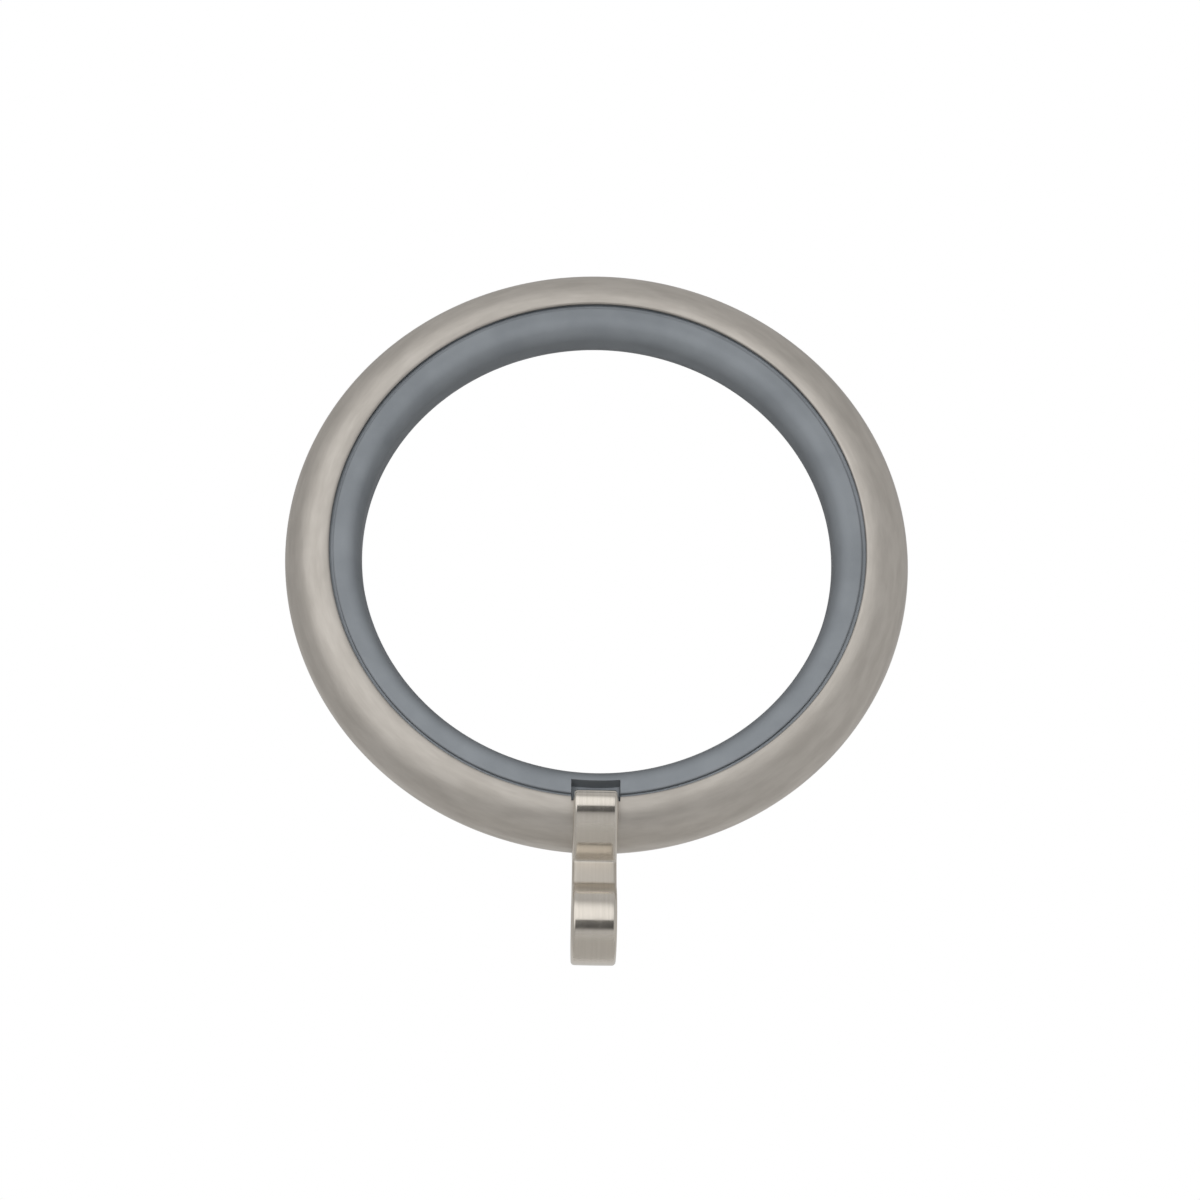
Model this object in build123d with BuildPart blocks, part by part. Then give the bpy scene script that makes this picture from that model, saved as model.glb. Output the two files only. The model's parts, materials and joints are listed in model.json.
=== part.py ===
"""Curtain ring for a pole: a rolled metal channel, a plastic glide liner and a bent strap with an eye.

Millimetres. The ring hangs in the XZ plane with its axis along Y and the eye at the bottom.
The origin is the centre of the bore. Sections are drawn as radius against axial distance.
"""

import os
from math import atan2, cos, degrees, hypot, radians, sin, sqrt

from build123d import *

# Bore that runs on the pole, and what is built outwards from it.
BORE_DIAMETER = 41.6
LINER_PROUD = 2.65
CHANNEL_DEPTH = 4.05

# Rolled channel.
CHANNEL_WIDTH = 5.7
CROWN_DEPTH = 3.3
SHEET = 0.4
LIP_NOTCH_PLAY = 0.16

# Glide liner.
LAND_WIDTH = 1.0
NOSE_INSET = 0.25
NOSE_CROWN = 2.8
NOSE_CORNER = 0.6
NOSE_EDGE = 0.2
GROOVE_WIDTH = 0.3
GROOVE_DEPTH = 0.35
BEAD_SHOULDER = 0.15
BEAD_DEPTH = 1.95
LINER_PLAY = 0.05
NOTCH_SIDE_PLAY = 0.2
NOTCH_HEAD_PLAY = 1.0
NOTCH_WEB = 1.0

# Bent strap of round-edged strip, with every bend radius taken at the middle of the strip.
STRAP_WIDTH = 3.7
STRAP_THICKNESS = 0.7
STRAP_PLAY = 0.08
TAIL_PLAY = 0.25
TAIL_LENGTH = 0.8
HOOK_RADIUS = 0.8
SHOULDER_RADIUS = 2.13
FLANK_RADIUS = 5.8
WAIST_RADIUS = 0.6
LEAF_GAP = 0.5
NECK_LENGTH = 1.78
FLARE_RADIUS = 0.97
EYE_HOLE_DIAMETER = 5.4

# Where the strap's outer face points at the end of each bend, in degrees below the pole's direction.
HOOK_ANGLE = -2.5
SHOULDER_ANGLE = 23.5
FLANK_ANGLE = 52.0
NECK_ANGLE = -17.0

bore_radius = BORE_DIAMETER / 2
lip_radius = bore_radius + LINER_PROUD
ring_radius = lip_radius + CHANNEL_DEPTH
section_radius = ring_radius - CROWN_DEPTH
half_channel = CHANNEL_WIDTH / 2
inside_radial = CROWN_DEPTH - SHEET
inside_axial = half_channel - SHEET
lip_round = 0.45 * SHEET
half_strap = STRAP_THICKNESS / 2
strap_edge_round = 0.43 * STRAP_THICKNESS
notch_width = STRAP_WIDTH + 2 * NOTCH_SIDE_PLAY


def facing(angle):
    """Direction of the strap's outer face, as axial distance and radius."""
    return Vector(cos(radians(angle)), sin(radians(angle)))


def running(angle):
    """Direction down the strap where its outer face points at that angle."""
    return Vector(-sin(radians(angle)), cos(radians(angle)))


# Strap, worked out before the rest because the notches in the lips and in the liner follow it.
# It lies on the channel at the flank's end. Each bend is tangent to the next, so its centre is on the
# line through the joint that they share.
support = hypot(CROWN_DEPTH * sin(radians(FLANK_ANGLE)), half_channel * cos(radians(FLANK_ANGLE)))
touch = Vector(
    half_channel**2 * cos(radians(FLANK_ANGLE)) / support,
    section_radius + CROWN_DEPTH**2 * sin(radians(FLANK_ANGLE)) / support,
)
contact = touch + facing(FLANK_ANGLE) * (STRAP_PLAY + half_strap)
flank = contact - facing(FLANK_ANGLE) * FLANK_RADIUS
shoulder = flank + facing(SHOULDER_ANGLE) * (FLANK_RADIUS - SHOULDER_RADIUS)
hook = shoulder + facing(HOOK_ANGLE) * (SHOULDER_RADIUS - HOOK_RADIUS)
tail_axial = inside_axial - TAIL_PLAY - half_strap
tail_bend = Vector(tail_axial + HOOK_RADIUS, hook.Y)

# Below the contact each leaf runs straight until the waist brings it next to the other one.
waist_axial = half_strap + LEAF_GAP / 2 + WAIST_RADIUS
run_reach = contact.X + WAIST_RADIUS * cos(radians(FLANK_ANGLE)) - waist_axial
run_end = contact + running(FLANK_ANGLE) * (run_reach / sin(radians(FLANK_ANGLE)))
waist = run_end + facing(FLANK_ANGLE) * WAIST_RADIUS
neck_start = waist - facing(NECK_ANGLE) * WAIST_RADIUS
neck_end = neck_start + running(NECK_ANGLE) * NECK_LENGTH

# The flare's bend touches the neck and the eye, so the eye's centre is one reach away from it.
flare = neck_end + facing(NECK_ANGLE) * FLARE_RADIUS
eye_bend = EYE_HOLE_DIAMETER / 2 + half_strap
eye_drop = sqrt((eye_bend + FLARE_RADIUS) ** 2 - flare.X**2)
eye = Vector(0, flare.Y + eye_drop)
flare_angle = -degrees(atan2(eye_drop, flare.X))


def bulge(centre, radius, start, end):
    """Bend whose outer face is on the outside, from one facing angle to another."""
    return CenterArc((centre.X, -centre.Y), radius, -start, start - end)


def hollow(centre, radius, start, end):
    """Bend whose outer face is on the inside, from one facing angle to another."""
    return CenterArc((centre.X, -centre.Y), radius, 180 - start, start - end)


def straight(start, end, offset, angle):
    """Flat stretch between two places on the middle of the strip, offset towards its outer face."""
    shift = facing(angle) * offset
    return Line((start.X + shift.X, -start.Y - shift.Y), (end.X + shift.X, -end.Y - shift.Y))


def strap_side(offset):
    """One face of the strip from the hook's tail to the bottom of the eye, offset from its middle."""
    tail_start = Vector(tail_axial, tail_bend.Y + TAIL_LENGTH)
    tail_end = Vector(tail_axial, tail_bend.Y)
    rise = Vector(0, HOOK_RADIUS)
    tail = straight(tail_start, tail_end, offset, 180)
    bulge(tail_bend, HOOK_RADIUS + offset, -180, -90)
    straight(tail_bend - rise, hook - rise, offset, -90)
    bulge(hook, HOOK_RADIUS + offset, -90, HOOK_ANGLE)
    bulge(shoulder, SHOULDER_RADIUS + offset, HOOK_ANGLE, SHOULDER_ANGLE)
    bulge(flank, FLANK_RADIUS + offset, SHOULDER_ANGLE, FLANK_ANGLE)
    straight(contact, run_end, offset, FLANK_ANGLE)
    hollow(waist, WAIST_RADIUS - offset, FLANK_ANGLE, NECK_ANGLE)
    straight(neck_start, neck_end, offset, NECK_ANGLE)
    hollow(flare, FLARE_RADIUS - offset, NECK_ANGLE, flare_angle)
    bulge(eye, eye_bend + offset, flare_angle, 90)
    return tail @ 0


with BuildPart() as strap:
    with BuildSketch(Plane.YZ):
        with BuildLine():
            outer_tail = strap_side(half_strap)
            inner_tail = strap_side(-half_strap)
            Line(outer_tail, inner_tail)
            mirror(about=Plane.YZ)
        make_face()
    extrude(amount=STRAP_WIDTH / 2, both=True)
    side_faces = strap.faces().filter_by(Axis.X)
    fillet(side_faces.edges(), strap_edge_round)

# Channel: a hollow ellipse swept round the bore, opened inwards at the lips and notched for the hooks.
lip_notch_radius = hook.Y - HOOK_RADIUS + half_strap + LIP_NOTCH_PLAY

with BuildPart() as shell:
    with BuildSketch(Plane.XY):
        with Locations((section_radius, 0)):
            Ellipse(CROWN_DEPTH, half_channel)
            Ellipse(inside_radial, inside_axial, mode=Mode.SUBTRACT)
        with Locations((lip_radius, 0)):
            Rectangle(
                2 * CROWN_DEPTH,
                2 * CHANNEL_WIDTH,
                align=(Align.MAX, Align.CENTER),
                mode=Mode.SUBTRACT,
            )
    revolve(axis=Axis.Y)
    lip_ends = shell.faces().filter_by(GeomType.CYLINDER)
    fillet(lip_ends.edges().filter_by(GeomType.CIRCLE), lip_round)
    with Locations((0, 0, -lip_notch_radius)):
        Box(
            notch_width,
            2 * CHANNEL_WIDTH,
            LINER_PROUD,
            align=(Align.CENTER, Align.CENTER, Align.MIN),
            mode=Mode.SUBTRACT,
        )

# Liner: a bead held behind the lips, a grooved neck between them and a crowned nose that the pole runs on.
half_land = LAND_WIDTH / 2
half_nose = half_channel - NOSE_INSET
half_neck = half_nose - GROOVE_DEPTH
flange_radius = lip_radius - GROOVE_WIDTH
shoulder_radius = lip_radius + BEAD_SHOULDER
bead_radius = lip_radius + BEAD_DEPTH
crown_radius = bore_radius + NOSE_CROWN
corner_axial = half_nose - NOSE_CORNER
corner_drop = sqrt((NOSE_CROWN - NOSE_CORNER) ** 2 - (corner_axial - half_land) ** 2)
corner_radius = crown_radius - corner_drop
crown_turn = degrees(atan2(corner_axial - half_land, corner_drop))
notch_radius = hook.Y - HOOK_RADIUS - half_strap - NOTCH_HEAD_PLAY

with BuildPart() as liner:
    with BuildSketch(Plane.XY):
        with Locations((section_radius, 0)):
            Ellipse(inside_radial - LINER_PLAY, inside_axial - LINER_PLAY)
        with Locations((bead_radius, 0)):
            Rectangle(
                2 * CROWN_DEPTH,
                CHANNEL_WIDTH,
                align=(Align.MIN, Align.CENTER),
                mode=Mode.SUBTRACT,
            )
        with Locations((shoulder_radius, 0)):
            Rectangle(
                2 * CROWN_DEPTH,
                CHANNEL_WIDTH,
                align=(Align.MAX, Align.CENTER),
                mode=Mode.SUBTRACT,
            )
            Rectangle(
                shoulder_radius - corner_radius,
                2 * half_neck,
                align=(Align.MAX, Align.CENTER),
            )
        with BuildLine():
            Line((bore_radius, 0), (bore_radius, half_land))
            CenterArc((crown_radius, half_land), NOSE_CROWN, 180, -crown_turn)
            CenterArc((corner_radius, corner_axial), NOSE_CORNER, 180 - crown_turn, crown_turn - 90)
            Line((corner_radius, half_nose), (flange_radius - NOSE_EDGE, half_nose))
            CenterArc((flange_radius - NOSE_EDGE, half_nose - NOSE_EDGE), NOSE_EDGE, 90, -90)
            Line((flange_radius, half_nose - NOSE_EDGE), (flange_radius, 0))
            mirror(about=Plane.XZ)
        make_face()
    revolve(axis=Axis.Y)
    with Locations((0, NOTCH_WEB / 2, -notch_radius), (0, -NOTCH_WEB / 2 - CHANNEL_WIDTH, -notch_radius)):
        Box(
            notch_width,
            CHANNEL_WIDTH,
            ring_radius - notch_radius,
            align=(Align.CENTER, Align.MIN, Align.MAX),
            mode=Mode.SUBTRACT,
        )

os.makedirs("parts", exist_ok=True)
shell.part.label = "ring_shell"
liner.part.label = "glide_liner"
strap.part.label = "eye_strap"
export_step(shell.part, "parts/ring_shell.step")
export_step(liner.part, "parts/glide_liner.step")
export_step(strap.part, "parts/eye_strap.step")
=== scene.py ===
import json
import math

import bmesh
import bpy
import numpy as np
from bpy.props import FloatProperty, FloatVectorProperty, PointerProperty
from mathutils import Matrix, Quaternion, Vector


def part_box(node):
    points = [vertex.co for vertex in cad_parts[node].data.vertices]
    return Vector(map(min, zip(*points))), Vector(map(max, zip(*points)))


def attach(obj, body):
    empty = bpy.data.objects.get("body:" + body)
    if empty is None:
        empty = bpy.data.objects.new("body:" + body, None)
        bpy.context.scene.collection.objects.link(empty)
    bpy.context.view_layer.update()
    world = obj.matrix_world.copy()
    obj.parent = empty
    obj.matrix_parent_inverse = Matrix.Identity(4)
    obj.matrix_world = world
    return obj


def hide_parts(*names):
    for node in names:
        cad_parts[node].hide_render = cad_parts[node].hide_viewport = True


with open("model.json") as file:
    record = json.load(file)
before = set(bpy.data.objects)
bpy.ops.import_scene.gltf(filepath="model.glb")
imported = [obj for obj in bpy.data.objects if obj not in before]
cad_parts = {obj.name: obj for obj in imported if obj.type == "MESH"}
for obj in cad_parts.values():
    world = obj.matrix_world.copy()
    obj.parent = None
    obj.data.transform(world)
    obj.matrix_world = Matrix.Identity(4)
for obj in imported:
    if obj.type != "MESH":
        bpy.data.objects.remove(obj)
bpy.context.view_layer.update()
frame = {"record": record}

bl_info = {
    "name": "Curtain Ring",
    "version": (1, 0, 0),
    "blender": (4, 5, 0),
    "location": "View3D > Sidebar > Curtain Ring",
    "description": "Makes a curtain ring with a rolled metal shell, a plastic glide liner and a bent eye strap",
    "category": "Add Mesh",
}

MM = 0.001
SHELL_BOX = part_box("ring_shell")
STRAP_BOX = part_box("eye_strap")
BORES = {mount["name"]: mount["dims"] for mount in frame["record"]["mounts"]}

# Points closer than this are one point, and edges that turn by more than the angle are sharp.
MERGE_DISTANCE = 0.0001 * MM
SHARP_ANGLE = math.radians(40)

# How finely the surfaces are drawn. A notch's side is a step this far each way, with columns at these distances
# beside it.
RING_COLUMNS = 280
NOTCH_COLUMNS = 15
NOTCH_STEP = 0.01 * MM
BESIDE_NOTCH = np.array([1.0, 0.5, 0.2, 0.06, 0.01, -0.01, -0.06]) * MM
LEDGE_STEP = 0.004
SHEET_POINTS = 75
LIP_POINTS = 13
BEND_STEP = math.radians(2)
RUN_POINTS = 6
STRIP_POINTS = 17
STRIP_EDGE_POINTS = 9
STAGE_POINTS = 96
TENT_ROWS = 50

# Ranges of a noise's values: its middle, for soft blotches, and nearly all of it.
NOISE_MIDDLE = {"From Min": 0.35, "From Max": 0.65}
NOISE_SPREAD = {"From Min": 0.3, "From Max": 0.7}

SENSOR_WIDTH = 36.0
CLIP_START = 5.0 * MM
LAMP_DISTANCE = 360.0 * MM


def linear(hex_colour):
    """Linear red, green and blue of an sRGB hex colour, each channel through the sRGB curve."""
    srgb = np.array([int(hex_colour[i:i + 2], 16) for i in (1, 3, 5)]) / 255
    curve = np.where(srgb <= 0.04045, srgb / 12.92, ((srgb + 0.055) / 1.055) ** 2.4)
    return tuple(curve.tolist())


def length(name, description, default):
    """A length setting in metres."""
    return FloatProperty(name=name, description=description, default=default, min=0.0, unit="LENGTH", precision=5)


def angle(name, description, degrees):
    """An angle setting, its default given in degrees."""
    return FloatProperty(name=name, description=description, default=math.radians(degrees), subtype="ANGLE")


def colour(name, description, hex_colour):
    """A colour setting, its default given as an sRGB hex value."""
    return FloatVectorProperty(
        name=name, description=description, default=linear(hex_colour), subtype="COLOR", min=0.0, max=1.0
    )


class ShellSettings(bpy.types.PropertyGroup):
    """Sizes and colours of the rolled shell."""

    outer_radius: length("Outer Radius", "Radius of the crown, outside", SHELL_BOX[1][0])
    channel_width: length("Channel Width", "Width of the channel along the pole", SHELL_BOX[1][1] - SHELL_BOX[0][1])
    crown_depth: length("Crown Depth", "From the widest part of the section out to the crown", 3.3 * MM)
    lip_radius: length("Lip Radius", "Radius at which the two lips end", 23.45 * MM)
    notch_radius: length("Lip Notch Radius", "Radius to which the lips are cut back under the strap", 23.819 * MM)
    notch_width: length("Lip Notch Width", "Width of the cuts in the lips", 4.1 * MM)
    sheet: length("Sheet", "Thickness of the sheet metal", 0.4 * MM)
    plate: colour("Plate", "Satin nickel", "#D8D2CA")
    plate_dull: colour("Dull Plate", "Satin nickel where the brushing is duller", "#CCC6BE")


class LinerSettings(bpy.types.PropertyGroup):
    """Sizes and colours of the glide liner."""

    bore_radius: length("Bore Radius", "Radius that runs on the pole", BORES["pole_bore"]["r_mm"] * MM)
    land_width: length(
        "Land Width", "Flat middle of the nose that runs on the pole", BORES["pole_bore"]["length_mm"] * MM
    )
    nose_width: length("Nose Width", "Width of the nose over its two faces", 5.2 * MM)
    nose_crown: length("Nose Crown", "Radius of the rounding beside the land", 2.8 * MM)
    nose_corner: length("Nose Corner", "Radius of the rounding into the faces", 1.2 * MM)
    nose_edge: length("Nose Edge", "Radius on the faces' outer edges", 0.2 * MM)
    groove_width: length("Groove Width", "Gap between the nose and the lips", 0.3 * MM)
    groove_depth: length("Groove Depth", "How far the groove goes in from the faces", 0.62 * MM)
    bead_shoulder: length("Bead Shoulder", "From the lips' ends to the bead behind them", 0.15 * MM)
    bead_depth: length("Bead Depth", "How far the bead reaches behind the lips", 1.95 * MM)
    play: length("Play", "Room between the bead and the channel", 0.05 * MM)
    notch_width: length("Notch Width", "Width of the notches that take the strap", 4.1 * MM)
    notch_web: length("Notch Web", "Plastic left between the two notches", 1.0 * MM)
    notch_top: length("Notch Top", "Radius at which the notches begin", 21.959 * MM)
    plastic: colour("Plastic", "Moulded grey plastic", "#8C9196")
    plastic_dark: colour("Dark Plastic", "Moulded grey plastic in its darker flow marks", "#82878C")


class StrapSettings(bpy.types.PropertyGroup):
    """Sizes and colours of the eye strap. Angles say how far the outer face points below the pole's direction."""

    width: length("Width", "Width of the strip", STRAP_BOX[1][0] - STRAP_BOX[0][0])
    thickness: length("Thickness", "Thickness of the strip", 0.7 * MM)
    edge_round: length("Edge Round", "Radius on the edges of the strip", 0.3 * MM)
    crown: length("Crown", "How much the faces fall away towards the edges", 0.015 * MM)
    play: length("Play", "Room between the strap and the channel that it lies on", 0.08 * MM)
    tail_play: length("Tail Play", "Room between the hook's tail and the inside of the channel", 0.25 * MM)
    tail_length: length("Tail Length", "Length of the tail inside the channel", 0.8 * MM)
    hook_radius: length("Hook Radius", "Bends of the hook, at the middle of the strip", 0.8 * MM)
    hook_angle: angle("Hook Angle", "Outer face where the hook's bend ends", -2.5)
    shoulder_radius: length("Shoulder Radius", "Bend from the hook into the flank", 2.13 * MM)
    shoulder_angle: angle("Shoulder Angle", "Outer face where the shoulder ends", 23.5)
    flank_radius: length("Flank Radius", "Bend of the flank that lies on the channel", 5.8 * MM)
    flank_angle: angle("Flank Angle", "Outer face where the flank lies on the channel", 52.0)
    waist_radius: length("Waist Radius", "Hollow bend of the waist", 0.6 * MM)
    leaf_gap: length("Leaf Gap", "Gap between the two leaves at the waist", 0.5 * MM)
    neck_angle: angle("Neck Angle", "Outer face along the straight neck", -17.0)
    neck_length: length("Neck Length", "Straight part of the neck", 1.78 * MM)
    flare_radius: length("Flare Radius", "Hollow bend from the neck into the eye", 0.97 * MM)
    eye_hole: length("Eye Hole", "Radius of the hole in the eye", BORES["eye_bore"]["r_mm"] * MM)
    hollow_drop: length("Hollow Drop", "From the middle of the bore down to the middle of the neck", 29.9 * MM)
    plate: colour("Plate", "Bright nickel", "#E8E1D7")
    plate_dull: colour("Dull Plate", "Bright nickel along its rolling lines", "#E2DBD0")


class StageSettings(bpy.types.PropertyGroup):
    """Camera, light and floor."""

    azimuth: angle("Azimuth", "Camera, to the right of straight in front", -1.525)
    elevation: angle("Elevation", "Camera, above the horizon", -22.11)
    roll: angle("Roll", "Turn of the camera to the left about its own axis", 0.59)
    distance: length("Distance", "From the camera to the point that it aims at", 200.0 * MM)
    aim: FloatVectorProperty(
        name="Aim",
        description="Point that the camera looks at",
        default=(0.30 * MM, 1.597 * MM, -3.949 * MM),
        subtype="TRANSLATION",
        unit="LENGTH",
        precision=5,
    )
    lens: FloatProperty(name="Lens", description="Focal length in millimetres on a 36 mm sensor", default=67.83)
    floor_drop: length("Floor Drop", "From the middle of the bore down to the floor", 120.0 * MM)
    floor_radius: length("Floor Radius", "Radius at which the floor has faded out", 115.0 * MM)
    tent_radius: length("Tent Radius", "Radius of the light tent", 450.0 * MM)
    tent_level: FloatProperty(name="Tent Level", description="Brightness of the tent's plain cloth", default=0.44)
    room_level: FloatProperty(name="Room Level", description="Light from all round on matt surfaces", default=0.06)
    key_power: FloatProperty(name="Key Power", description="Power of the soft key lamp", default=1.2, unit="POWER")
    fill_power: FloatProperty(name="Fill Power", description="Power of the lamp behind", default=0.85, unit="POWER")
    floor_colour: colour("Floor", "Pale paper floor", "#EFEDE9")
    floor_level: FloatProperty(name="Floor Level", description="White added where the floor is seen", default=0.56)
    floor_mirrored: FloatProperty(name="Floor Mirrored", description="White added in reflections", default=0.16)


def arc(centre, radius, start, end, count):
    """Points along an arc: centre plus radius times the direction at each angle."""
    turn = np.linspace(start, end, count)
    return np.asarray(centre) + radius * np.stack([np.cos(turn), np.sin(turn)], axis=-1)


def stretch(start, end, count):
    """Points evenly along a straight line, the last one left out."""
    return np.linspace(start, end, count)[:-1]


def round_the_bore(section, notched, notch_width):
    """A section carried round the bore, with another section between two flat sides at the bottom.

    A point of radius r and axial distance y goes to (r sin a, y, -r cos a) while the angle a runs once round.
    Columns near the notch lie at constant x, where the angle is arcsin(x / r), so the notch's sides are flat. The
    rest of the columns share out what is left of the turn.
    """
    half = notch_width / 2
    side = half + BESIDE_NOTCH
    across = np.concatenate([-side, np.linspace(-0.85, 0.85, NOTCH_COLUMNS) * half, side[::-1]])
    rest = np.linspace(0, 1, RING_COLUMNS + 2)[1:-1, None]
    depth = np.clip((half + NOTCH_STEP - np.abs(across)) / (2 * NOTCH_STEP), 0, 1)
    depth = np.concatenate([depth, 0 * rest[:, 0]])[:, None, None]
    radius, axial = np.moveaxis(section + depth * (notched - section), -1, 0)
    zone = np.arcsin(across[:, None] / radius[:across.size])
    edge = np.arcsin(side[0] / radius[-1])
    turn = np.concatenate([zone, edge + rest * (2 * math.pi - 2 * edge)])
    return np.stack([radius * np.sin(turn), axial, -radius * np.cos(turn)], axis=-1)


def shell_section(shell, lip_radius):
    """One loop of radius and axial distance round the sheet, its lips ending at a given radius.

    It goes along the outer ellipse from lip to lip, round one lip, back along the inner ellipse and round the other
    lip. Each lip is half a circle as wide as the sheet is thick.
    """
    middle = shell.outer_radius - shell.crown_depth
    outer_axes = np.array([shell.crown_depth, shell.channel_width / 2])
    inner_axes = outer_axes - shell.sheet
    lip_cosine = (lip_radius + shell.sheet / 2 - middle) / (shell.crown_depth - shell.sheet / 2)
    if not -1 < lip_cosine < 1 or inner_axes.min() <= 0:
        raise ValueError("The shell's sizes leave no channel: the lips have to end inside its section")
    lip_angle = math.acos(lip_cosine)
    unit = arc((0, 0), 1.0, -lip_angle, lip_angle, SHEET_POINTS)
    outer = np.array([middle, 0]) + outer_axes * unit
    inner = np.array([middle, 0]) + inner_axes * unit
    half_turn = np.linspace(0, math.pi, LIP_POINTS)[1:-1, None]
    across = (outer[-1] - inner[-1]) / 2
    along = np.array([-across[1], across[0]])
    far_lip = (outer[-1] + inner[-1]) / 2 + across * np.cos(half_turn) + along * np.sin(half_turn)
    near_lip = far_lip[::-1] * np.array([1, -1])
    return np.concatenate([outer, far_lip, inner[::-1], near_lip])


def shell_surface(shell):
    """The shell: its section carried round the bore, with the lips cut back under the strap."""
    full = shell_section(shell, shell.lip_radius)
    cut_back = shell_section(shell, shell.notch_radius)
    return round_the_bore(full, cut_back, shell.notch_width)


def liner_surface(liner, shell):
    """The liner: its section carried round the bore, with a notch in each face at the bottom.

    Half of the section runs from the middle of the land along the land, round the crown and the corner of the nose,
    up its face, round its edge, down into the groove, up the neck, along the bead that lies inside the channel, and
    across the bead's outer face. Each rounding is a circle's arc tangent to what is beside it. The other half is
    the mirror image. In a notch, every point beyond the notch's top is drawn in to half the web.
    """
    middle = shell.outer_radius - shell.crown_depth
    half_land = liner.land_width / 2
    half_nose = liner.nose_width / 2
    corner_axial = half_nose - liner.nose_corner
    crown = np.array([liner.bore_radius + liner.nose_crown, half_land])
    reach = liner.nose_crown - liner.nose_corner
    flange = shell.lip_radius - liner.groove_width
    if not 0 <= corner_axial - half_land < reach:
        raise ValueError("The liner's nose is too wide or too narrow for its crown and corner")
    turned = math.asin((corner_axial - half_land) / reach)
    corner = np.array([crown[0] - reach * math.cos(turned), corner_axial])
    edge = np.array([flange - liner.nose_edge, half_nose - liner.nose_edge])
    half_neck = half_nose - liner.groove_depth
    bead_axes = np.array([shell.crown_depth, shell.channel_width / 2]) - shell.sheet - liner.play
    bead_ends = np.array([liner.bead_shoulder, liner.bead_depth]) + shell.lip_radius
    if not corner[0] - liner.nose_corner < liner.notch_top < corner[0] < edge[0]:
        raise ValueError("The liner's notch has to begin on the corner of the nose, and the corner inside its edge")

    # The ledge is the angle on the corner's arc at which the notch begins.
    quarter = math.pi / 2
    ledge = math.pi - math.acos((corner[0] - liner.notch_top) / liner.nose_corner)
    bead = np.linspace(*np.arccos((bead_ends - middle) / bead_axes[0]), 14)
    bead = np.array([middle, 0]) + bead_axes * np.stack([np.cos(bead), np.sin(bead)], axis=-1)
    # The last number in each row is how many points it takes. Two points stand closely on either side of the ledge.
    half = np.concatenate([
        stretch((liner.bore_radius, 0), (liner.bore_radius, half_land), 5),
        arc(crown, liner.nose_crown, math.pi, math.pi - turned, 33)[:-1],
        arc(corner, liner.nose_corner, math.pi - turned, ledge + LEDGE_STEP, 14),
        arc(corner, liner.nose_corner, ledge - LEDGE_STEP, quarter, 4),
        stretch((corner[0], half_nose), (edge[0], half_nose), 6)[1:],
        arc(edge, liner.nose_edge, quarter, 0, 9),
        stretch((flange, edge[1]), (flange, half_neck), 4)[1:],
        stretch((flange, half_neck), (bead_ends[0], half_neck), 5),
        stretch((bead_ends[0], half_neck), bead[0], 4),
        bead,
        stretch(bead[-1], (bead_ends[1], 0), 5)[1:],
        [(bead_ends[1], 0)],
    ])
    section = np.concatenate([half, half[-2:0:-1] * np.array([1, -1])])
    web = np.clip(section[:, 1], -liner.notch_web / 2, liner.notch_web / 2)
    notched = np.stack([section[:, 0], np.where(section[:, 0] > liner.notch_top, web, section[:, 1])], axis=-1)
    return round_the_bore(section[::-1], notched[::-1], liner.notch_width)


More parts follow.
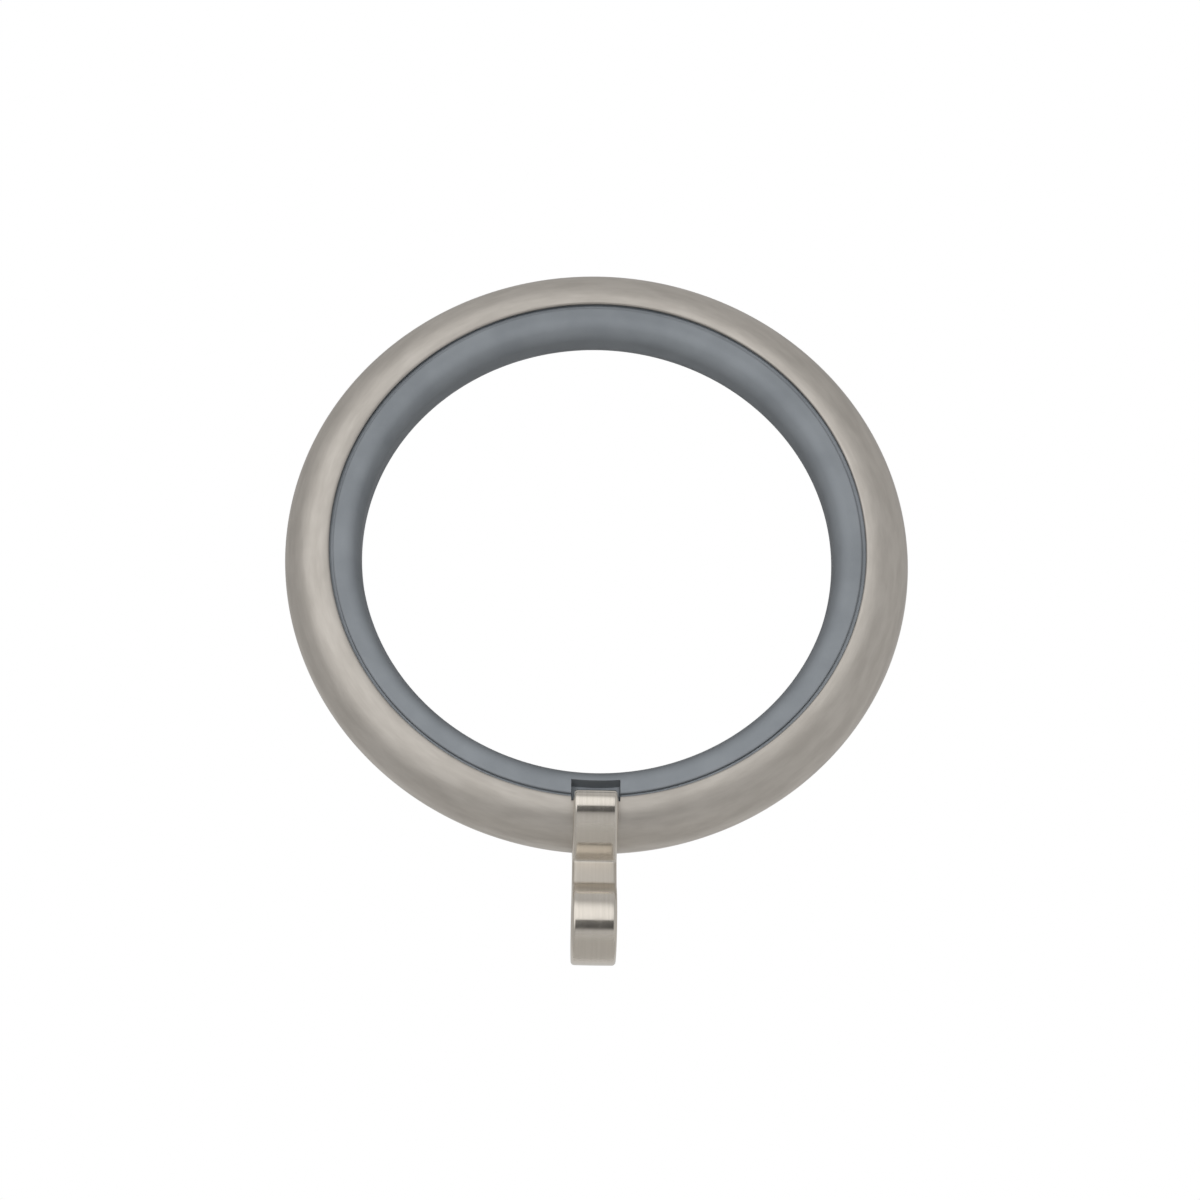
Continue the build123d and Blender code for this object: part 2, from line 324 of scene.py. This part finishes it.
def strap_surface(strap, shell):
    """The strap: the strip's section carried along its bent middle line.

    The line lies in the plane x = 0. Each half is a tail, a hook over the lip, a shoulder, a flank that lies on the
    channel, a straight run, a hollow waist, a straight neck, a hollow flare and half of the eye, each tangent to
    the next. A bend's point is its centre plus its radius times the outer face's direction, and hollow bends
    have a negative radius. A point of the section at distance w across and t through the strip goes to the line's
    point plus t times that direction, at x = w. The section is a rectangle with rounded edges whose faces fall away
    with w squared.
    """
    half = strap.thickness / 2
    eye_radius = strap.eye_hole + half
    outer_axes = np.array([shell.channel_width / 2, shell.crown_depth])

    # Places are axial distance and distance below the middle of the bore.
    hook_out, shoulder_out, flank_out, neck_out = (
        np.array([math.cos(turned), math.sin(turned)])
        for turned in (strap.hook_angle, strap.shoulder_angle, strap.flank_angle, strap.neck_angle)
    )
    touch = outer_axes ** 2 * flank_out / np.hypot(*(outer_axes * flank_out))
    touch += np.array([0, shell.outer_radius - shell.crown_depth])
    contact = touch + (strap.play + half) * flank_out
    flank = contact - strap.flank_radius * flank_out
    shoulder = flank + (strap.flank_radius - strap.shoulder_radius) * shoulder_out
    hook = shoulder + (strap.shoulder_radius - strap.hook_radius) * hook_out
    tail = np.array([outer_axes[0] - shell.sheet - strap.tail_play - half, hook[1] + strap.tail_length])
    tail_bend = np.array([tail[0] + strap.hook_radius, hook[1]])
    waist_axial = half + strap.leaf_gap / 2 + strap.waist_radius
    run = (contact[0] + strap.waist_radius * flank_out[0] - waist_axial) / flank_out[1]
    waist = contact + strap.waist_radius * flank_out + run * np.array([-flank_out[1], flank_out[0]])
    flare = waist + (strap.flare_radius - strap.waist_radius) * neck_out
    flare += strap.neck_length * np.array([-neck_out[1], neck_out[0]])
    reach = eye_radius + strap.flare_radius
    if run < 0 or tail_bend[0] > hook[0] or flare[0] >= reach:
        raise ValueError("The strap's sizes don't fit each other: its leaves cross, or its hook misses the channel")
    flare_angle = -math.acos(flare[0] / reach)
    eye = np.array([0, flare[1] - reach * math.sin(flare_angle)])

    bends = [
        (tail, 0.0, -math.pi, -math.pi),
        (tail_bend, strap.hook_radius, -math.pi, -math.pi / 2),
        (hook, strap.hook_radius, -math.pi / 2, strap.hook_angle),
        (shoulder, strap.shoulder_radius, strap.hook_angle, strap.shoulder_angle),
        (flank, strap.flank_radius, strap.shoulder_angle, strap.flank_angle),
        (waist, -strap.waist_radius, strap.flank_angle, strap.neck_angle),
        (flare, -strap.flare_radius, strap.neck_angle, flare_angle),
        (eye, eye_radius, flare_angle, math.pi / 2),
    ]
    line = []
    out = []
    for centre, radius, start, end in bends:
        count = 1 + math.ceil(abs(end - start) / BEND_STEP)
        directions = arc((0, 0), 1.0, start, end, count)
        points = centre + radius * directions
        # A straight stretch closes the gap from the bend before. Without a gap the shared point is dropped.
        if line and np.hypot(*(points[0] - line[-1][-1])) > MERGE_DISTANCE:
            between = stretch(line[-1][-1], points[0], RUN_POINTS)[1:]
            line.append(between)
            out.append(np.tile(directions[0], (len(between), 1)))
        elif line:
            points, directions = points[1:], directions[1:]
        line.append(points)
        out.append(directions)
    line = np.concatenate(line)
    out = np.concatenate(out)
    line = np.concatenate([line, line[-2::-1] * np.array([-1, 1])])
    out = np.concatenate([out, out[-2::-1] * np.array([-1, 1])])

    flat = np.linspace(-1, 1, STRIP_POINTS)[1:-1] * (strap.width / 2 - strap.edge_round)
    corner = np.array([strap.width / 2, half]) - strap.edge_round
    quarter = [
        arc(corner * np.array(sign), strap.edge_round, start, start + math.pi / 2, STRIP_EDGE_POINTS)
        for sign, start in (((1, 1), 0.0), ((-1, 1), math.pi / 2), ((-1, -1), math.pi), ((1, -1), 1.5 * math.pi))
    ]
    top = np.stack([flat[::-1], np.full(flat.size, half)], axis=-1)
    section = np.concatenate([quarter[0], top, quarter[1], quarter[2], -top, quarter[3]])[::-1]
    across, through = section.T
    through = through * (1 - strap.crown / half * (across / (strap.width / 2)) ** 2)
    place = line[:, None] + through[:, None] * out[:, None]
    return np.stack([np.tile(across, (len(line), 1)), place[..., 0], -place[..., 1]], axis=-1)


def skin(name, grid, loop=True):
    """Object with quads between neighbours of a grid of points, rows by columns.

    Columns always close on themselves. Rows do too where loop is set, and otherwise end in a flat face each.
    """
    rows, columns = grid.shape[:2]
    here = np.arange(rows * columns).reshape(rows, columns)
    ahead = np.roll(here, -1, axis=0)
    quads = np.stack([here, np.roll(here, -1, axis=1), np.roll(ahead, -1, axis=1), ahead], axis=-1)
    faces = (quads if loop else quads[:-1]).reshape(-1, 4).tolist()
    if not loop:
        faces += [here[0, ::-1].tolist(), here[-1].tolist()]
    mesh = bpy.data.meshes.new(name)
    mesh.from_pydata(grid.reshape(-1, 3).tolist(), [], faces)
    # Points that a notch has drawn together become one, so no face is left without an area.
    joined = bmesh.new()
    joined.from_mesh(mesh)
    bmesh.ops.remove_doubles(joined, verts=joined.verts, dist=MERGE_DISTANCE)
    joined.to_mesh(mesh)
    joined.free()
    mesh.shade_smooth()
    mesh.set_sharp_from_angle(angle=SHARP_ANGLE)
    mesh.validate()
    piece = bpy.data.objects.new(name, mesh)
    bpy.context.scene.collection.objects.link(piece)
    return piece


def add_node(tree, kind, settings=None, links=None):
    """Adds a node, puts settings on its attributes or input sockets, and links other nodes' outputs to it."""
    node = tree.nodes.new(kind)
    for key, value in (settings or {}).items():
        if isinstance(key, str) and hasattr(node, key):
            setattr(node, key, value)
        else:
            node.inputs[key].default_value = value
    for key, output in (links or {}).items():
        tree.links.new(output, node.inputs[key])
    return node


def new_material(name):
    """An empty node material, its node tree and its output node."""
    material = bpy.data.materials.new(name)
    material.use_nodes = True
    material.node_tree.nodes.clear()
    return material, material.node_tree, add_node(material.node_tree, "ShaderNodeOutputMaterial")


def satin_nickel(shell):
    """Nickel plate on rolled steel sheet, brushed round the ring with a fine abrasive pad."""
    # The pad leaves a warm grey metal with wide soft reflections and faint lines that run round the ring.
    material, tree, output = new_material("satin_nickel_brushed_plate")
    place = add_node(tree, "ShaderNodeTexCoord").outputs["Object"]
    axes = add_node(tree, "ShaderNodeSeparateXYZ", links={0: place})
    flat = add_node(tree, "ShaderNodeCombineXYZ", links={"X": axes.outputs["X"], "Z": axes.outputs["Z"]})
    radius = add_node(tree, "ShaderNodeVectorMath", {"operation": "LENGTH"}, {0: flat.outputs[0]})
    turn = add_node(tree, "ShaderNodeMath", {"operation": "ARCTAN2"}, {0: axes.outputs["X"], 1: axes.outputs["Z"]})
    # Real brush lines are about 0.03 mm wide. They are drawn 0.14 mm wide, and 5 mm long, so that they show.
    line_width, line_length = 0.14 * MM, 5.0 * MM
    ring_place = add_node(
        tree,
        "ShaderNodeCombineXYZ",
        links={"X": radius.outputs["Value"], "Y": axes.outputs["Y"], "Z": turn.outputs[0]},
    )
    stretched = add_node(
        tree,
        "ShaderNodeVectorMath",
        {"operation": "MULTIPLY", 1: (1 / line_width, 1 / line_width, shell.outer_radius / line_length)},
        {0: ring_place.outputs[0]},
    )
    lines = add_node(
        tree, "ShaderNodeTexNoise", {"Scale": 1.0, "Detail": 3.0, "Roughness": 0.6}, {"Vector": stretched.outputs[0]}
    )
    # The plate is cloudy in streaks about 0.8 mm wide and 4 mm long, where the pad pressed more or less.
    streak_width, streak_length = 0.8 * MM, 4.0 * MM
    streaked = add_node(
        tree,
        "ShaderNodeVectorMath",
        {"operation": "MULTIPLY", 1: (1 / streak_width, 1 / streak_width, shell.outer_radius / streak_length)},
        {0: ring_place.outputs[0]},
    )
    cloud = add_node(
        tree, "ShaderNodeTexNoise", {"Scale": 1.0, "Detail": 3.0, "Roughness": 0.55}, {"Vector": streaked.outputs[0]}
    )
    blend = add_node(tree, "ShaderNodeMapRange", NOISE_MIDDLE, {"Value": cloud.outputs["Fac"]})
    tint = add_node(
        tree,
        "ShaderNodeMix",
        {"data_type": "RGBA", 6: (*shell.plate, 1), 7: (*shell.plate_dull, 1)},
        {0: blend.outputs[0]},
    )
    rough = add_node(
        tree,
        "ShaderNodeMapRange",
        {**NOISE_SPREAD, "To Min": 0.40, "To Max": 0.48},
        {"Value": lines.outputs["Fac"]},
    )
    bump = add_node(
        tree, "ShaderNodeBump", {"Strength": 0.35, "Distance": 0.006 * MM}, {"Height": lines.outputs["Fac"]}
    )
    shader = add_node(
        tree,
        "ShaderNodeBsdfPrincipled",
        {"Metallic": 1.0},
        {"Base Color": tint.outputs[2], "Roughness": rough.outputs[0], "Normal": bump.outputs[0]},
    )
    tree.links.new(shader.outputs[0], output.inputs[0])
    return material


def moulded_plastic(liner):
    """Grey polypropylene, injection moulded in a fine-sparked steel mould."""
    # The mould leaves a low sheen with a fine grain, and the pigment drifts a little along the flow.
    material, tree, output = new_material("grey_polypropylene_moulded")
    place = add_node(tree, "ShaderNodeTexCoord").outputs["Object"]
    flow = add_node(
        tree, "ShaderNodeTexNoise", {"Scale": 1 / (4.0 * MM), "Detail": 3.0, "Roughness": 0.5}, {"Vector": place}
    )
    blend = add_node(tree, "ShaderNodeMapRange", NOISE_MIDDLE, {"Value": flow.outputs["Fac"]})
    tint = add_node(
        tree,
        "ShaderNodeMix",
        {"data_type": "RGBA", 6: (*liner.plastic, 1), 7: (*liner.plastic_dark, 1)},
        {0: blend.outputs[0]},
    )
    # Spark grain is about 0.03 mm across. It is drawn 0.12 mm across so that it shows.
    grain = add_node(
        tree, "ShaderNodeTexNoise", {"Scale": 1 / (0.12 * MM), "Detail": 2.0, "Roughness": 0.5}, {"Vector": place}
    )
    rough = add_node(
        tree,
        "ShaderNodeMapRange",
        {**NOISE_SPREAD, "To Min": 0.60, "To Max": 0.70},
        {"Value": grain.outputs["Fac"]},
    )
    bump = add_node(
        tree, "ShaderNodeBump", {"Strength": 0.3, "Distance": 0.01 * MM}, {"Height": grain.outputs["Fac"]}
    )
    shader = add_node(
        tree,
        "ShaderNodeBsdfPrincipled",
        {"Metallic": 0.0, "IOR": 1.49},
        {"Base Color": tint.outputs[2], "Roughness": rough.outputs[0], "Normal": bump.outputs[0]},
    )
    tree.links.new(shader.outputs[0], output.inputs[0])
    return material


def bright_nickel(strap):
    """Bright nickel plate on cold-rolled steel strip."""
    # Bright plate mirrors the room in bands across each bend, and the strip's rolling lines show through faintly.
    material, tree, output = new_material("bright_nickel_plate_on_rolled_strip")
    place = add_node(tree, "ShaderNodeTexCoord").outputs["Object"]
    # Rolling lines run along the strip. Real ones are about 0.02 mm wide. They are drawn 0.16 mm wide, and 6 mm long,
    # so that they show.
    line_width, line_length = 0.16 * MM, 6.0 * MM
    stretched = add_node(
        tree,
        "ShaderNodeMapping",
        {"Scale": (1 / line_width, 1 / line_length, 1 / line_length)},
        {"Vector": place},
    )
    lines = add_node(
        tree, "ShaderNodeTexNoise", {"Scale": 1.0, "Detail": 3.0, "Roughness": 0.6}, {"Vector": stretched.outputs[0]}
    )
    blend = add_node(tree, "ShaderNodeMapRange", NOISE_MIDDLE, {"Value": lines.outputs["Fac"]})
    tint = add_node(
        tree,
        "ShaderNodeMix",
        {"data_type": "RGBA", 6: (*strap.plate, 1), 7: (*strap.plate_dull, 1)},
        {0: blend.outputs[0]},
    )
    # The plate is a little uneven over about 0.8 mm, as plate on unpolished strip is.
    waves = add_node(
        tree, "ShaderNodeTexNoise", {"Scale": 1 / (0.8 * MM), "Detail": 1.0, "Roughness": 0.4}, {"Vector": place}
    )
    rough = add_node(
        tree,
        "ShaderNodeMapRange",
        {**NOISE_SPREAD, "To Min": 0.11, "To Max": 0.17},
        {"Value": waves.outputs["Fac"]},
    )
    # Plate is thin and dull in a hollow, so the neck between waist and flare is rougher than the bulging bends.
    height = add_node(tree, "ShaderNodeSeparateXYZ", links={0: place}).outputs["Z"]
    off = add_node(tree, "ShaderNodeMath", {"operation": "ADD", 1: strap.hollow_drop}, {0: height}).outputs[0]
    off = add_node(tree, "ShaderNodeMath", {"operation": "ABSOLUTE"}, {0: off}).outputs[0]
    dull = add_node(
        tree,
        "ShaderNodeMapRange",
        {
            "interpolation_type": "SMOOTHSTEP",
            "From Min": 1.2 * MM,
            "From Max": 2.2 * MM,
            "To Min": 0.26,
            "To Max": 0.0,
        },
        {"Value": off},
    ).outputs[0]
    rough = add_node(tree, "ShaderNodeMath", {"operation": "ADD"}, {0: rough.outputs[0], 1: dull})
    bump = add_node(
        tree, "ShaderNodeBump", {"Strength": 0.1, "Distance": 0.004 * MM}, {"Height": lines.outputs["Fac"]}
    )
    shader = add_node(
        tree,
        "ShaderNodeBsdfPrincipled",
        {"Metallic": 1.0},
        {"Base Color": tint.outputs[2], "Roughness": rough.outputs[0], "Normal": bump.outputs[0]},
    )
    tree.links.new(shader.outputs[0], output.inputs[0])
    return material


def settle(piece, material, node):
    """Gives a piece its material, lets it stand for its CAD node and rides it on the part's one body."""
    piece.data.materials.append(material)
    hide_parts(node)
    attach(piece, "root")


class CURTAINRING_OT_shell(bpy.types.Operator):
    """Add the rolled metal shell"""

    bl_idname = "curtain_ring.shell"
    bl_label = "Add Shell"

    def execute(self, context):
        shell = context.scene.curtain_ring_shell
        settle(skin("rolled_shell", shell_surface(shell)), satin_nickel(shell), "ring_shell")
        return {"FINISHED"}


class CURTAINRING_OT_liner(bpy.types.Operator):
    """Add the plastic glide liner"""

    bl_idname = "curtain_ring.liner"
    bl_label = "Add Liner"

    def execute(self, context):
        liner = context.scene.curtain_ring_liner
        grid = liner_surface(liner, context.scene.curtain_ring_shell)
        settle(skin("moulded_liner", grid), moulded_plastic(liner), "glide_liner")
        return {"FINISHED"}


class CURTAINRING_OT_strap(bpy.types.Operator):
    """Add the bent strap with its eye"""

    bl_idname = "curtain_ring.strap"
    bl_label = "Add Strap"

    def execute(self, context):
        strap = context.scene.curtain_ring_strap
        grid = strap_surface(strap, context.scene.curtain_ring_shell)
        settle(skin("bent_strap", grid, loop=False), bright_nickel(strap), "eye_strap")
        return {"FINISHED"}


def heading(azimuth, elevation):
    """Unit vector from the object: azimuth to the right of the viewer's side, elevation above the horizon."""
    level = math.cos(elevation)
    return Vector((math.sin(azimuth) * level, -math.cos(azimuth) * level, math.sin(elevation)))


def paper_floor(stage):
    """Pale matt paper that fades out towards its edge, so it meets the white background without a line."""
    fade_start = 0.35 * stage.floor_radius
    material, tree, output = new_material("pale_paper_floor")
    place = add_node(tree, "ShaderNodeTexCoord").outputs["Object"]
    centred = add_node(
        tree, "ShaderNodeVectorMath", {"operation": "MULTIPLY", 1: (1.0, 1.0, 0.0)}, {0: place}
    )
    radius = add_node(tree, "ShaderNodeVectorMath", {"operation": "LENGTH"}, {0: centred.outputs[0]})
    fade = add_node(
        tree,
        "ShaderNodeMapRange",
        {"interpolation_type": "SMOOTHSTEP", "From Min": fade_start, "From Max": stage.floor_radius},
        {"Value": radius.outputs["Value"]},
    )
    # The paper is drawn from above only, so a view from below isn't veiled by it.
    beneath = add_node(tree, "ShaderNodeNewGeometry").outputs["Backfacing"]
    gone = add_node(tree, "ShaderNodeMath", {"operation": "MAXIMUM"}, {0: fade.outputs[0], 1: beneath})
    paper = add_node(tree, "ShaderNodeBsdfDiffuse", {"Color": (*stage.floor_colour, 1)})
    path = add_node(tree, "ShaderNodeLightPath")
    mirrored = add_node(
        tree,
        "ShaderNodeMath",
        {"operation": "ADD", "use_clamp": True},
        {0: path.outputs["Is Glossy Ray"], 1: path.outputs["Is Transmission Ray"]},
    )
    level = add_node(
        tree, "ShaderNodeMath", {"operation": "MULTIPLY", 1: stage.floor_mirrored}, {0: mirrored.outputs[0]}
    )
    level = add_node(
        tree,
        "ShaderNodeMath",
        {"operation": "MULTIPLY_ADD", 1: stage.floor_level},
        {0: path.outputs["Is Camera Ray"], 2: level.outputs[0]},
    )
    sheen = add_node(tree, "ShaderNodeEmission", links={"Strength": level.outputs[0]})
    white = add_node(tree, "ShaderNodeAddShader", links={0: paper.outputs[0], 1: sheen.outputs[0]})
    clear = add_node(tree, "ShaderNodeBsdfTransparent")
    mix = add_node(
        tree, "ShaderNodeMixShader", links={0: gone.outputs[0], 1: white.outputs[0], 2: clear.outputs[0]}
    )
    tree.links.new(mix.outputs[0], output.inputs[0])
    return material


def tent_cloth(stage):
    """White cloth of a light tent, lit from behind by soft panels and open round the lens."""
    material, tree, output = new_material("lit_tent_cloth")
    place = add_node(tree, "ShaderNodeTexCoord").outputs["Object"]
    towards = add_node(tree, "ShaderNodeVectorMath", {"operation": "NORMALIZE"}, {0: place}).outputs[0]

    def patch(azimuth, elevation, full, gone, low, high):
        """High within an angle of the direction, low beyond a wider angle, and a soft step between them."""
        middle = heading(math.radians(azimuth), math.radians(elevation))
        cosine = add_node(tree, "ShaderNodeVectorMath", {"operation": "DOT_PRODUCT", 1: middle}, {0: towards})
        return add_node(
            tree,
            "ShaderNodeMapRange",
            {
                "interpolation_type": "SMOOTHSTEP",
                "From Min": math.cos(math.radians(gone)),
                "From Max": math.cos(math.radians(full)),
                "To Min": low,
                "To Max": high,
            },
            {"Value": cosine.outputs["Value"]},
        ).outputs[0]

    # Each panel has its direction, the angle within which it is full, the angle beyond which it is gone, and what it
    # adds. The front panel stands on the level of the plain cloth, and the others are added to that.
    *front, front_adds = -20, 12, 16, 45, 0.57
    total = patch(*front, stage.tent_level, stage.tent_level + front_adds)
    for *panel, adds in (
        (180, -20, 30, 75, 0.15),
        (0, 90, 15, 45, 0.06),
        (25, -60, 14, 40, 0.08),
        (75, -5, 20, 60, 0.08),
    ):
        lit = patch(*panel, 0.0, adds)
        total = add_node(tree, "ShaderNodeMath", {"operation": "ADD"}, {0: total, 1: lit}).outputs[0]
    # Below the front panel the cloth is open in a slit, which the lens looks through. Each of its sides has an axis,
    # the angle along it at which the cloth is open and the angle at which the cloth is whole. The last row keeps the
    # slit to the viewer's side.
    open_cloth = 0.21
    axes = add_node(tree, "ShaderNodeSeparateXYZ", links={0: towards})
    aside = add_node(tree, "ShaderNodeMath", {"operation": "ABSOLUTE"}, {0: axes.outputs["X"]}).outputs[0]
    slit = None
    for side, opened, whole in (
        (axes.outputs["Z"], -27, -37),
        (axes.outputs["Z"], -8, -5.5),
        (aside, 10, 15),
        (axes.outputs["Y"], -45, -30),
    ):
        edge = add_node(
            tree,
            "ShaderNodeMapRange",
            {
                "interpolation_type": "SMOOTHSTEP",
                "From Min": math.sin(math.radians(whole)),
                "From Max": math.sin(math.radians(opened)),
            },
            {"Value": side},
        ).outputs[0]
        if slit is not None:
            edge = add_node(tree, "ShaderNodeMath", {"operation": "MULTIPLY"}, {0: slit, 1: edge}).outputs[0]
        slit = edge
    kept = add_node(tree, "ShaderNodeMapRange", {"To Min": 1.0, "To Max": open_cloth}, {"Value": slit}).outputs[0]
    total = add_node(tree, "ShaderNodeMath", {"operation": "MULTIPLY"}, {0: total, 1: kept}).outputs[0]
    glow = add_node(tree, "ShaderNodeEmission", links={"Strength": total})
    tree.links.new(glow.outputs[0], output.inputs[0])
    return material


def white_world(stage):
    """World that is white to the camera and in reflections, and dimmer as light on matt surfaces."""
    world = bpy.data.worlds.new("white_room")
    world.use_nodes = True
    tree = world.node_tree
    tree.nodes.clear()
    path = add_node(tree, "ShaderNodeLightPath")
    seen = add_node(
        tree,
        "ShaderNodeMath",
        {"operation": "ADD", "use_clamp": True},
        {0: path.outputs["Is Camera Ray"], 1: path.outputs["Is Glossy Ray"]},
    )
    seen = add_node(
        tree,
        "ShaderNodeMath",
        {"operation": "ADD", "use_clamp": True},
        {0: seen.outputs[0], 1: path.outputs["Is Transmission Ray"]},
    )
    level = add_node(
        tree, "ShaderNodeMapRange", {"To Min": stage.room_level, "To Max": 1.0}, {"Value": seen.outputs[0]}
    )
    sky = add_node(tree, "ShaderNodeBackground", {"Color": (1, 1, 1, 1)}, {"Strength": level.outputs[0]})
    output = add_node(tree, "ShaderNodeOutputWorld")
    tree.links.new(sky.outputs[0], output.inputs[0])
    return world


class CURTAINRING_OT_stage(bpy.types.Operator):
    """Add the floor, the light tent, the lamps and the camera"""

    bl_idname = "curtain_ring.stage"
    bl_label = "Add Stage"

    def execute(self, context):
        scene = context.scene
        stage = scene.curtain_ring_stage
        scene.view_settings.view_transform = "Standard"
        scene.world = white_world(stage)

        # The floor is a disc: radius times cosine and sine of the angle, level at the floor's drop.
        turn = np.linspace(0, 2 * math.pi, STAGE_POINTS, endpoint=False)
        rim = np.stack([np.cos(turn), np.sin(turn), 0 * turn], axis=-1) * stage.floor_radius
        floor_mesh = bpy.data.meshes.new("floor")
        floor_mesh.from_pydata((rim - np.array([0, 0, stage.floor_drop])).tolist(), [], [list(range(turn.size))])
        floor = bpy.data.objects.new("floor", floor_mesh)
        floor_mesh.materials.append(paper_floor(stage))

        # The tent is a sphere round the object, open to the camera's own rays.
        up = np.linspace(-math.pi / 2, math.pi / 2, TENT_ROWS)[1:-1, None]
        ball = np.stack([np.cos(up) * np.cos(turn), np.cos(up) * np.sin(turn), np.sin(up) + 0 * turn], axis=-1)
        tent = skin("light_tent", ball[::-1] * stage.tent_radius, loop=False)
        tent.data.materials.append(tent_cloth(stage))
        tent.visible_camera = False
        tent.visible_diffuse = False
        tent.visible_shadow = False

        # The key stands near the lens and the fill behind the ring, both turned to the middle of the bore. Each has its
        # direction in degrees, its size in metres and its power.
        lamps = []
        for name, azimuth, elevation, size, power in (
            ("key_softbox", -7, -13, 0.2, stage.key_power),
            ("fill_softbox", 165, 12, 0.4, stage.fill_power),
        ):
            softbox = bpy.data.lights.new(name, "AREA")
            softbox.size = size
            softbox.energy = power
            lamp = bpy.data.objects.new(name, softbox)
            lamp.location = heading(math.radians(azimuth), math.radians(elevation)) * LAMP_DISTANCE
            lamp.rotation_euler = (-lamp.location).to_track_quat("-Z", "Y").to_euler()
            lamp.visible_glossy = False
            lamps.append(lamp)

        lens = bpy.data.cameras.new("camera")
        lens.sensor_width = SENSOR_WIDTH
        lens.lens = stage.lens
        lens.clip_start = CLIP_START
        camera = bpy.data.objects.new("camera", lens)
        backwards = heading(stage.azimuth, stage.elevation)
        camera.location = Vector(stage.aim) + backwards * stage.distance
        level = (-backwards).to_track_quat("-Z", "Y")
        camera.rotation_euler = (level @ Quaternion((0, 0, 1), stage.roll)).to_euler()
        for item in (floor, *lamps, camera):
            scene.collection.objects.link(item)
        scene.camera = camera
        return {"FINISHED"}


class CURTAINRING_PT_sidebar(bpy.types.Panel):
    """Settings and steps of the curtain ring"""

    bl_idname = "CURTAINRING_PT_sidebar"
    bl_label = "Curtain Ring"
    bl_space_type = "VIEW_3D"
    bl_region_type = "UI"
    bl_category = "Curtain Ring"

    def draw(self, context):
        for operator, (name, group) in zip(OPERATORS, SETTINGS.items()):
            box = self.layout.box()
            for setting in group.__annotations__:
                box.prop(getattr(context.scene, name), setting)
            box.operator(operator.bl_idname)


SETTINGS = {
    "curtain_ring_shell": ShellSettings,
    "curtain_ring_liner": LinerSettings,
    "curtain_ring_strap": StrapSettings,
    "curtain_ring_stage": StageSettings,
}
OPERATORS = (CURTAINRING_OT_shell, CURTAINRING_OT_liner, CURTAINRING_OT_strap, CURTAINRING_OT_stage)


def register():
    for name, group in SETTINGS.items():
        bpy.utils.register_class(group)
        setattr(bpy.types.Scene, name, PointerProperty(type=group))
    for kind in (*OPERATORS, CURTAINRING_PT_sidebar):
        bpy.utils.register_class(kind)


def unregister():
    for kind in (CURTAINRING_PT_sidebar, *reversed(OPERATORS)):
        bpy.utils.unregister_class(kind)
    for name, group in SETTINGS.items():
        delattr(bpy.types.Scene, name)
        bpy.utils.unregister_class(group)


def main():
    register()
    bpy.ops.curtain_ring.shell()
    bpy.ops.curtain_ring.liner()
    bpy.ops.curtain_ring.strap()
    bpy.ops.curtain_ring.stage()


if __name__ == "__main__":
    main()
